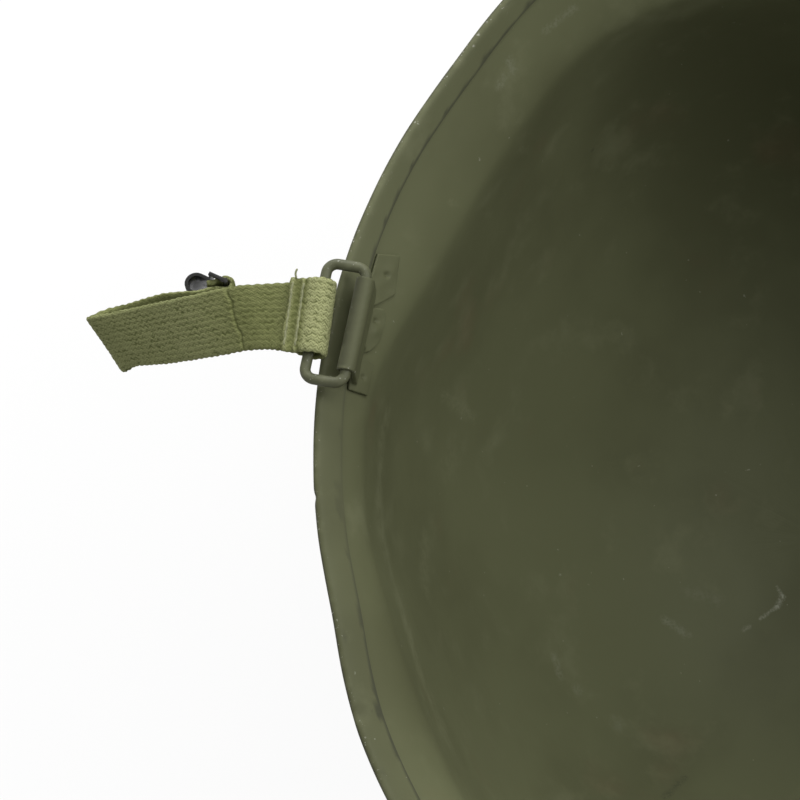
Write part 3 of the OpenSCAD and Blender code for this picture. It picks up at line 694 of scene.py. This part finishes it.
def cotton(name):
    """Cotton yarns: pale crowns, hollows darkened with painted shade, small chevrons of spun thread with
    painted shade in their gaps, and a faint fuzzy sheen.
    """
    colours = bpy.context.scene.helmet_colours
    light, dark = tuple(colours.webbing), tuple(colours.webbing_dark)
    cloth = Shader(name)
    at = cloth.place()
    hollow = cloth.layer("hollow")
    worn = cloth.layer("worn")
    uneven = cloth.noise(at, 90, 4, 0.6)
    yarn = cloth.noise(at, 1500, 3, 0.6)

    laid = cloth.node("ShaderNodeTexCoord").outputs["UV"]
    shaken = cloth.node("ShaderNodeTexNoise", Vector=at, Scale=1100, Detail=2.0).outputs["Color"]
    shaken = cloth.vector("SUBTRACT", shaken, (0.5, 0.5, 0.5))
    laid = cloth.vector("ADD", laid, cloth.vector("SCALE", shaken, scale=0.0007))
    parts = cloth.node("ShaderNodeSeparateXYZ", Vector=laid).outputs
    chevron = cloth.math("PINGPONG", cloth.part(parts["X"], 1 / CHEVRON), 1)
    slanted = cloth.math("ADD", cloth.part(parts["Y"], 1 / THREAD_STEP), cloth.part(chevron, 0.8))
    thread = cloth.part(cloth.math("PINGPONG", slanted, 0.5), 2)
    broken = cloth.math("MULTIPLY_ADD", cloth.step(cloth.noise(at, 1300, 2), 0.4, 0.62), 0.8, 0.3)
    deep = cloth.math("MULTIPLY_ADD", worn, 0.25, 0.45)
    gap = cloth.math("MULTIPLY", cloth.step(thread, 0.6, 0.1), deep)
    gap = cloth.math("MULTIPLY", gap, broken, clamp=True)

    colour = cloth.blend(cloth.step(uneven, 0.35, 0.7), toned(light, 0.86), light)
    spun = cloth.part(cloth.step(yarn, 0.45, 0.75), 0.35)
    colour = cloth.blend(spun, colour, toned(light, 1.35))
    colour = cloth.blend(cloth.part(worn, 0.85), colour, colours.webbing_worn)
    # Painted shade in the gaps between the spun threads and in the hollows between the yarns.
    colour = cloth.blend(gap, colour, dark)
    colour = cloth.blend(cloth.part(cloth.step(hollow, 0.3, 0.95), 0.8), colour, dark)
    fuzz = cloth.bump(yarn, 0.00006, 0.6)
    return cloth.set(Base_Color=colour, Roughness=0.92, Specular_IOR_Level=0.1, Sheen_Weight=0.08,
                     Sheen_Roughness=0.5, Sheen_Tint=colours.webbing_worn,
                     Normal=cloth.bump(thread, 0.00009, 0.6, fuzz))


def sewing_thread():
    """Waxed thread, uneven along its length, with its twist as a fine grain."""
    thread_colour = bpy.context.scene.helmet_colours.thread
    shader = Shader("thread")
    at = shader.place()
    strand = shader.noise(at, 1800, 3)
    uneven = shader.step(shader.noise(at, 260, 3), 0.35, 0.7)
    colour = shader.blend(uneven, toned(thread_colour, 0.75), thread_colour)
    colour = shader.blend(shader.part(strand, 0.4), colour, toned(thread_colour, 0.5))
    return shader.set(Base_Color=colour, Roughness=0.75, Specular_IOR_Level=0.3,
                      Normal=shader.bump(strand, 0.00008, 0.8))


def black_steel():
    """Black lacquer on stamped steel, thin and greyish where it is handled."""
    colours = bpy.context.scene.helmet_colours
    shader = Shader("blackened_steel")
    at = shader.place()
    handled = shader.step(shader.noise(at, 160, 5, 0.6), 0.5, 0.75)
    colour = shader.blend(shader.part(handled, 0.35), colours.black, colours.black_worn)
    drawn = shader.vector("MULTIPLY", at, (1, 6, 1))
    scratched = shader.step(shader.noise(drawn, 420, 3), 0.68, 0.72)
    colour = shader.blend(shader.part(scratched, 0.5), colour, colours.bare_steel)
    roughness = shader.math("MULTIPLY_ADD", handled, 0.22, 0.2)
    return shader.set(Base_Color=colour, Roughness=roughness, Specular_IOR_Level=0.25,
                      Normal=shader.bump(shader.noise(at, 700, 3), 0.00003, 0.5))


def make_floor():
    """A pale floor that is white to the camera and in gloss, and keeps the object's shadow."""
    nothing_selected()
    bpy.ops.mesh.primitive_plane_add(size=12)
    floor = bpy.context.object
    floor.name = "floor"
    shader = Shader("pale_floor")
    tint = shader.blend(shader.noise(shader.place(), 6, 3), (0.95, 0.95, 0.95), (0.98, 0.98, 0.98))
    shader.set(Base_Color=tint, Roughness=0.9, Specular_IOR_Level=0.2)
    glow = shader.node("ShaderNodeEmission", Color=(1, 1, 1), Strength=1.0)
    rays = shader.node("ShaderNodeLightPath").outputs
    seen = shader.math("MAXIMUM", rays["Is Camera Ray"], rays["Is Glossy Ray"])
    mixed = shader.node("ShaderNodeMixShader", i0=shader.part(seen, 0.9),
                        i1=shader.surface.outputs[0], i2=glow.outputs[0])
    shader.tree.links.new(mixed.outputs[0], shader.output.inputs["Surface"])
    floor.data.materials.append(shader.material)


def make_world(strength):
    """Even light from all round, which the camera and gloss see as white."""
    world = bpy.data.worlds.new("soft_light")
    bpy.context.scene.world = world
    world.use_nodes = True
    nodes, links = world.node_tree.nodes, world.node_tree.links
    nodes.clear()
    output = nodes.new("ShaderNodeOutputWorld")
    mix = nodes.new("ShaderNodeMixShader")
    for socket, brightness in ((1, strength), (2, 1)):
        background = nodes.new("ShaderNodeBackground")
        background.inputs["Color"].default_value = (1, 1, 1, 1)
        background.inputs["Strength"].default_value = brightness
        links.new(background.outputs[0], mix.inputs[socket])
    rays = nodes.new("ShaderNodeLightPath").outputs
    seen = nodes.new("ShaderNodeMath")
    seen.operation = "MAXIMUM"
    links.new(rays["Is Camera Ray"], seen.inputs[0])
    links.new(rays["Is Glossy Ray"], seen.inputs[1])
    links.new(seen.outputs[0], mix.inputs[0])
    links.new(mix.outputs[0], output.inputs["Surface"])


def make_lamp(name, place, size, power):
    lamp = bpy.data.lights.new(name, "AREA")
    lamp.shape = "DISK"
    lamp.size = size
    lamp.energy = power
    lit = bpy.data.objects.new(name, lamp)
    lit.location = place
    lit.rotation_euler = (Vector((0, 0, 0.12)) - Vector(place)).to_track_quat("-Z", "Y").to_euler()
    bpy.context.scene.collection.objects.link(lit)


def make_camera(studio):
    """The photograph's view: down into the bowl, with a small roll."""
    distance, elevation = studio.camera_distance, studio.camera_elevation
    back = Vector((0, -math.cos(elevation), math.sin(elevation)))
    position = Vector((0, 0, studio.aim[2])) + distance * back
    forward = (Vector(studio.aim) - position).normalized()
    upward = Vector((math.sin(studio.camera_roll), math.cos(studio.camera_roll), 0))
    right = forward.cross(upward).normalized()
    upward = right.cross(forward)
    data = bpy.data.cameras.new("camera")
    data.sensor_width = 36
    data.sensor_fit = "HORIZONTAL"
    data.lens = studio.focal_length
    data.clip_start, data.clip_end = 0.01, 50
    camera = bpy.data.objects.new("camera", data)
    camera.matrix_world = Matrix((right, upward, -forward)).transposed().to_4x4()
    camera.location = position
    bpy.context.scene.collection.objects.link(camera)
    bpy.context.scene.camera = camera


class HELMET_OT_stage(bpy.types.Operator):
    """Adds the pale floor, the soft lights and the camera"""
    bl_idname = "helmet.stage"
    bl_label = "Stage and Camera"

    def execute(self, context):
        studio = context.scene.helmet_studio
        make_floor()
        make_world(studio.fill_strength)
        make_lamp("side", (1.2, 0.1, 1.2), 1.0, studio.side_power)
        make_lamp("front", (-0.1, 1.6, 0.75), 0.9, studio.front_power)
        make_lamp("corner", (0.6, 0.7, 1.6), 1.0, studio.corner_power)
        make_camera(studio)
        context.scene.view_settings.view_transform = "Standard"
        return {"FINISHED"}


class HELMET_OT_shell(bpy.types.Operator):
    """Makes the pressed steel bowl with its painted, scuffed surface"""
    bl_idname = "helmet.shell"
    bl_label = "Shell"

    def execute(self, context):
        finish = context.scene.helmet_finish
        piece = copy_of("shell", "shell_skin")
        apply_modifier(piece, "SUBSURF", levels=2, render_levels=2)

        def ripple(points, normals):
            """The same soft waves on both faces of the sheet, fading out towards the rim."""
            inward = np.sign(-(normals[:, 0] * points[:, 0] + normals[:, 1] * points[:, 1]
                               + normals[:, 2] * (points[:, 2] - 0.12)))
            angle = np.arctan2(points[:, 1], points[:, 0]) * 100 + 400
            height = points[:, 2] * 1000
            wave = soft_noise(angle, height, 31, 3) + 0.5 * soft_noise(angle, height, 13, 4) - 0.75
            fade = np.clip((0.158 - points[:, 2]) / 0.03, 0, 1)
            return points + normals * (wave * fade * inward * finish.sheet_ripple)[:, None]

        reshape(piece, ripple)
        smooth(piece, 180)
        finish_piece(piece, "shell", "shell_paint", olive_paint("shell_paint", marks=SHELL_MARKS), "shell")
        return {"FINISHED"}


# A nick in the band's outer edge and a dent in its top, in the row frame
NICK = np.array((-0.1214, -0.0008, 0.1756))
DENT = np.array((-0.1150, -0.0548, 0.1735))


def subdivide_beaten(piece):
    """Gives the band enough faces for its nick and its dent."""
    pick(piece)
    for vertex in piece.data.vertices:
        vertex.select = False
    for polygon in piece.data.polygons:
        to_nick, to_dent = ((polygon.center - Vector(spot)).length for spot in (NICK, DENT))
        polygon.select = min(to_nick, to_dent + 0.001) < 0.0045
    bpy.ops.object.mode_set(mode="EDIT")
    bpy.ops.mesh.select_mode(type="FACE")
    bpy.ops.mesh.subdivide(number_cuts=3)
    bpy.ops.object.mode_set(mode="OBJECT")


def beaten(points, normals):
    """The band's nick, its dent and its soft waves."""
    inward = -points / np.linalg.norm(points[:, :2], axis=1)[:, None]
    inward[:, 2] = 0
    away = np.linalg.norm((points - NICK) * (0.75, 1, 0.6), axis=1)
    points = points + inward * (0.00055 * bell(away, 0.0012))[:, None]
    away = np.linalg.norm(points - DENT, axis=1)
    points = points + np.array((0, 0, -0.0006)) * bell(away, 0.0022)[:, None]
    angle = np.arctan2(points[:, 1], points[:, 0]) * 120
    wave = soft_noise(angle + 400, points[:, 2] * 0, 9, 17) - 0.5
    return points + np.column_stack((inward[:, :2] * (0.00018 * wave)[:, None], 0.00022 * wave))


class HELMET_OT_band(bpy.types.Operator):
    """Makes the folded band round the rim with its dents and chipped edge"""
    bl_idname = "helmet.band"
    bl_label = "Rim Band"

    def execute(self, context):
        piece = copy_of("rim_band", "rim_band_fold")
        apply_modifier(piece, "BEVEL", width=0.00016, segments=2, limit_method="ANGLE",
                       angle_limit=math.radians(50))
        apply_modifier(piece, "SUBSURF", levels=2, render_levels=2)
        subdivide_beaten(piece)
        reshape(piece, beaten)
        smooth(piece, 70)

        turned = np.empty(len(piece.data.vertices) * 3, np.float32)
        piece.data.vertices.foreach_get("normal", turned)
        upward = turned.reshape(-1, 3)[:, 2]

        def darkened(points):
            """Painted shade: a dark line along the band's inner seam, faint beside the hinge, and a thin
            painted shadow line on its outer corner.
            """
            inset, share = rim_inset(points)
            inner = np.clip((share - 0.92) / 0.05, 0, 1) * (1.2 - 0.8 * bell(points[:, 1] - 0.004, 0.03))
            corner = np.clip(1.2 - inset / 0.0008, 0, 1) * np.clip((0.98 - upward) / 0.25, 0, 1)
            corner *= np.clip(upward / 0.3, 0, 1)
            return np.maximum(inner, corner)

        mark(piece, "edge", lambda points: np.clip(1 - rim_inset(points)[0] / 0.0022, 0, 1))
        # The seam layer is painted shade along the band's inner seam and on its outer corner.
        mark(piece, "seam", darkened)
        paint = olive_paint("band_paint", 0.93, edge_layer="edge", dirt_and_shade_layer="seam", marks=BAND_MARKS)
        finish_piece(piece, "shell", "band_paint", paint, "rim_band")
        return {"FINISHED"}


def rim_inset(points):
    """How far inside the rim's outermost line each point lies, and its share of the band's width."""
    per_degree = 2
    parts = 360 * per_degree
    angle = np.degrees(np.arctan2(points[:, 1], points[:, 0])) % 360
    radius = np.linalg.norm(points[:, :2], axis=1)
    part = (angle * per_degree).astype(int) % parts

    def greatest(values):
        """The greatest value in each small part of the rim's turn, read between their middles."""
        found = np.zeros(parts)
        np.maximum.at(found, part, values)
        found = np.where(found > 0, found, np.maximum(np.roll(found, 1), np.roll(found, -1)))
        return np.interp(angle, (np.arange(parts) + 0.5) / per_degree, found, period=360)

    inset = greatest(radius) - radius
    return inset, inset / greatest(inset)


# Millimetres along and above a hinge plate's barrel: where its three welds are
WELDS = ((18.1, -13.0), (5.75, -12.8), (-9.2, -12.4))


class HELMET_OT_hinges(bpy.types.Operator):
    """Makes both hinge plates: rolled barrels with thin lobed plates welded to the shell"""
    bl_idname = "helmet.hinges"
    bl_label = "Hinge Plates"

    def execute(self, context):
        hinge = Hinge()
        depth = context.scene.helmet_finish.dimple_depth * 1000
        for left in (False, True):
            side = "left" if left else "right"
            piece = copy_of(f"{side}_hinge_plate", f"{side}_hinge_plate_rolled")
            apply_modifier(piece, "REMESH", mode="VOXEL", voxel_size=0.0002)
            apply_modifier(piece, "SMOOTH", factor=0.5, iterations=5)

            def worked(points, normals):
                """Welds, bulges and unevenness on the plate's inner face, and the barrel's seam."""
                x, y, z = hinge.measure(points, left).T
                on_plate = np.clip((-4.2 - z) / 1.2, 0, 1)
                lift = np.zeros(len(x))
                for weld_x, weld_z in WELDS:
                    away = np.hypot(x - weld_x, z - weld_z)
                    lift += 0.12 * bell(away, 2.2) - depth * bell(away, 0.65)
                lift += 0.45 * bell(x - 3.2, 1.4) * bell(z + 13.3, 1.3)
                lift += 0.4 * bell(x + 2.4, 0.6) * bell(z + 10.0, 1.3)
                lift += 0.34 * (soft_noise(x + 40, z + 40, 2.6, 21) - 0.5)
                seam = 0.22 * bell(z + 1.15, 0.22) * np.clip((y - 1.2) / 0.6, 0, 1)
                rough = 0.05 * (soft_noise(x + 40, z + y + 40, 1.1, 23) - 0.5)
                push = lift * on_plate + (rough - seam) * (1 - on_plate)
                outward = (normals * (-1, 1, 1) if left else normals) @ hinge.out
                push = np.where((on_plate > 0) & (outward > 0.2), 0, push)
                return points + normals * (push / 1000)[:, None]

            reshape(piece, worked)
            smooth(piece, 180)
            mark(piece, "edge", lambda points: barrel_edge(hinge.measure(points, left)))
            # The seam layer here is grime over the barrel, with painted shade on its outboard side.
            mark(piece, "seam", lambda points: barrel_dirt_and_shade(hinge.measure(points, left)))
            paint = olive_paint(f"{side}_hinge_paint", 0.88, edge_layer="edge", dirt_and_shade_layer="seam")
            finish_piece(piece, "shell", "hinge_paint", paint, f"{side}_hinge_plate")
        return {"FINISHED"}


def barrel_edge(points):
    """High on the barrel's rubbed outboard side and at its two ends."""
    x, y, z = points.T
    on_barrel = np.clip(z + 2.2, 0, 1)
    return on_barrel * np.maximum(bell(y - 2.0, 0.9) * bell(x + 6, 7), bell(np.abs(x) - 12, 0.7))


def barrel_dirt_and_shade(points):
    """Grime over the barrel, and painted shade that makes it darkest on its outboard side."""
    _, y, z = points.T
    return np.clip((z + 3.0) / 1.5, 0, 1) * (0.3 + 0.8 * np.clip((y + 0.8) / 1.8, 0, 1))


class HELMET_OT_bales(bpy.types.Operator):
    """Makes the two wire bales, rubbed bright on their bends"""
    bl_idname = "helmet.bales"
    bl_label = "Bales"

    def execute(self, context):
        hinge = Hinge()
        for left in (False, True):
            side = "left" if left else "right"
            piece = copy_of(f"{side}_bale", f"{side}_bale_wire")
            smooth(piece, 60)
            mark(piece, "edge", lambda points: bend_wear(hinge, hinge.measure(points, left)))
            paint = olive_paint(f"{side}_bale_paint", 0.64, edge_layer="edge", gloss=0.25)
            finish_piece(piece, f"{side}_bale", "bale_paint", paint, f"{side}_bale")
        return {"FINISHED"}


def bend_wear(hinge, points):
    """High on the bale's bends and along its outer bar."""
    x, y, _ = points.T
    return 0.75 * np.clip(bell(np.abs(x) - 14.5, 1.6) + 0.5 * bell(y - hinge.bar_y, 1.5), 0, 1)


class HELMET_OT_straps(bpy.types.Operator):
    """Weaves the two webbing straps"""
    bl_idname = "helmet.straps"
    bl_label = "Straps"

    def execute(self, context):
        finish, hinge = context.scene.helmet_finish, Hinge()
        depth, scallop = finish.weave_depth * 1000, finish.selvedge_depth * 1000
        material = cotton("webbing")

        def short_shape(u, w, outer):
            """Two sewn ridges on the loop, a crease where the strap was folded, darkened with painted
            shade, and rubbed ends.
            """
            sewn = 0.30 * bell(u - 0.6, 0.55) + 0.34 * bell(u - 3.4, 0.5) - 0.2 * bell(u - 2.0, 0.8)
            fold = u - 40.3 - 0.03 * w - 0.8 * (soft_noise(u * 0, w, 2.2, 41) - 0.5)
            swell = np.where(outer, sewn, 0.1 * bell(fold - 1.1, 0.8) - 0.28 * bell(fold, 0.4))
            swell = swell + 0.12 * (soft_noise(u, w, 7, 43) - 0.5)
            ridges = bell(u - 0.6, 0.45) + bell(u - 3.4, 0.42)
            # Below 0 the weave's hollows deepen and get painted shade: lightly between the sewn ridges,
            # most in the crease.
            pressed = np.where(outer, (0.7 * ridges - 0.4 * (1 - ridges)) * np.clip((4.9 - u) / 0.8, 0, 1),
                               -0.6 * bell(fold, 0.35))
            loop = np.clip((u - 4.8) / 1.4, 0, 1) * np.clip((17.5 - u) / 2.5, 0, 1)
            rubbed = 0.42 * np.clip((u - 38) / 14, 0, 1)
            worn = np.where(outer, loop + 0.75 * ridges * (u < 5), rubbed) + 0.12 * soft_noise(u, w, 5, 44)
            return swell, pressed, np.clip(worn, 0, 1)

        path, _ = short_strap_path(hinge)
        piece = webbing_piece("short_strap_webbing", path, 0.27, hinge.place, depth, scallop, short_shape)
        finish_piece(piece, "short_strap", "webbing", material, "short_strap")

        def long_shape(u, w, outer):
            """The same ridges on the long strap's loop."""
            swell = np.where(outer, 0.3 * bell(u - 0.7, 0.7) + 0.3 * bell(u - 3.0, 0.5), 0)
            swell = swell + 0.1 * (soft_noise(u, w, 7, 53) - 0.5)
            pressed = np.where(outer, 0.75 * np.clip((4.6 - u) / 0.8, 0, 1), 0)
            worn = 0.25 * soft_noise(u, w, 9, 54) + np.where(outer, 0.5 * np.clip((19 - u) / 2, 0, 1), 0)
            return swell, pressed, np.clip(worn, 0, 1)

        piece = webbing_piece("long_strap_webbing", long_strap_path(hinge), 0.36,
                              lambda points: hinge.place(points, True), depth, scallop, long_shape, 0.33)
        finish_piece(piece, "long_strap", "webbing", material, "long_strap")
        return {"FINISHED"}


# Millimetres: the threads' radius, and half the length of a sewn row
THREAD = 0.26
ROW_HALF = 8.1


def seam(count, point):
    """A running thread over the webbing, dipping into it at every stitch.

    point(x, rise, sway) places a point of it: along the row, off the webbing and to the side.
    """
    def rise(x):
        return 0.16 * abs(math.sin(math.pi * (x + ROW_HALF) / (2 * ROW_HALF) * count))

    return [point(x, rise(x), 0.07 * math.sin(2.3 * x))
            for x in np.linspace(-ROW_HALF, ROW_HALF, count * 8 + 1)]


class HELMET_OT_stitches(bpy.types.Operator):
    """Sews the straps' ends with rows of light thread"""
    bl_idname = "helmet.stitches"
    bl_label = "Stitches"

    def execute(self, context):
        hinge, material = Hinge(), sewing_thread()
        _, (end_at, end_d, end_h, end_n) = short_strap_path(hinge)
        top = LAYER + WEBBING / 2
        stitches = 9

        def sewn(name, node, body, rows, left=False):
            piece = tube(name, [hinge.place(row, left) for row in rows], THREAD / 1000)
            finish_piece(piece, body, "thread", material, node)

        def on_loop(at):
            return lambda x, rise, sway: in_turned_loop(hinge, x, at + sway, top + 0.22 + rise)

        def on_end(at):
            slope = 0.22 * (-3.4 - at)
            return lambda x, rise, sway: (end_at + end_h * (0.86 * x) + end_d * (at + sway)
                                          - end_n * (top + 0.1 + rise + slope))

        def on_long_loop(at):
            return lambda x, rise, sway: (x, hinge.bar_y + HANG + top + 0.12 + rise,
                                          hinge.bar_z - at - 1 + sway)

        loose = [in_turned_loop(hinge, 9.1 + 2.4 * t, 5.9 + 0.4 * math.sin(3 * t), top + 0.2 + 0.5 * t)
                 for t in np.linspace(0, 1, 9)]
        sewn("short_strap_loop_thread", "short_strap_loop_stitches", "short_strap",
             [seam(stitches, on_loop(at)) for at in (3.95, 6.7)] + [loose])
        sewn("short_strap_hook_thread", "short_strap_hook_stitches", "short_strap",
             [seam(stitches, on_end(at)) for at in (-3.5, -4.3)])
        sewn("long_strap_loop_thread", "long_strap_loop_stitches", "long_strap",
             [seam(stitches, on_long_loop(at)) for at in (4.5, 6.5)], True)
        return {"FINISHED"}


class HELMET_OT_hardware(bpy.types.Operator):
    """Rounds the edges of the hook, buckle, keeper and tip and blackens them"""
    bl_idname = "helmet.hardware"
    bl_label = "Hook and Buckle"

    def execute(self, context):
        thick = context.scene.helmet_finish.edge_round
        thin = thick * 0.6
        material = black_steel()
        for node, body, width in (("hook", "hook", thick), ("buckle_frame", "buckle", thick),
                                  ("buckle_pin_bar", "buckle", thick), ("strap_keeper", "keeper", thin),
                                  ("strap_tip", "long_strap", thin)):
            piece = copy_of(node, f"{node}_black")
            apply_modifier(piece, "BEVEL", width=width, segments=3, limit_method="ANGLE",
                           angle_limit=math.radians(40))
            smooth(piece, 40)
            finish_piece(piece, body, "blackened_steel", material, node)
        return {"FINISHED"}


class HELMET_PT_panel(bpy.types.Panel):
    """Lists the helmet's pieces in the sidebar"""
    bl_label = "Helmet"
    bl_idname = "HELMET_PT_panel"
    bl_space_type = "VIEW_3D"
    bl_region_type = "UI"
    bl_category = "Helmet"

    def draw(self, context):
        for operator in OPERATORS:
            self.layout.operator(operator.bl_idname)
        for group in GROUPS:
            column = self.layout.column()
            for name in GROUPS[group].__annotations__:
                column.prop(getattr(context.scene, group), name)


OPERATORS = (HELMET_OT_stage, HELMET_OT_shell, HELMET_OT_band, HELMET_OT_hinges, HELMET_OT_bales,
             HELMET_OT_straps, HELMET_OT_stitches, HELMET_OT_hardware)
GROUPS = {"helmet_colours": HelmetColours, "helmet_finish": HelmetFinish, "helmet_studio": HelmetStudio}


def register():
    for group in GROUPS.values():
        bpy.utils.register_class(group)
    for operator in OPERATORS:
        bpy.utils.register_class(operator)
    bpy.utils.register_class(HELMET_PT_panel)
    for name, group in GROUPS.items():
        setattr(bpy.types.Scene, name, bpy.props.PointerProperty(type=group))


def unregister():
    for name in GROUPS:
        delattr(bpy.types.Scene, name)
    bpy.utils.unregister_class(HELMET_PT_panel)
    for operator in reversed(OPERATORS):
        bpy.utils.unregister_class(operator)
    for group in GROUPS.values():
        bpy.utils.unregister_class(group)


def main():
    register()
    for operator in OPERATORS:
        group, name = operator.bl_idname.split(".")
        getattr(getattr(bpy.ops, group), name)()


if __name__ == "__main__":
    main()
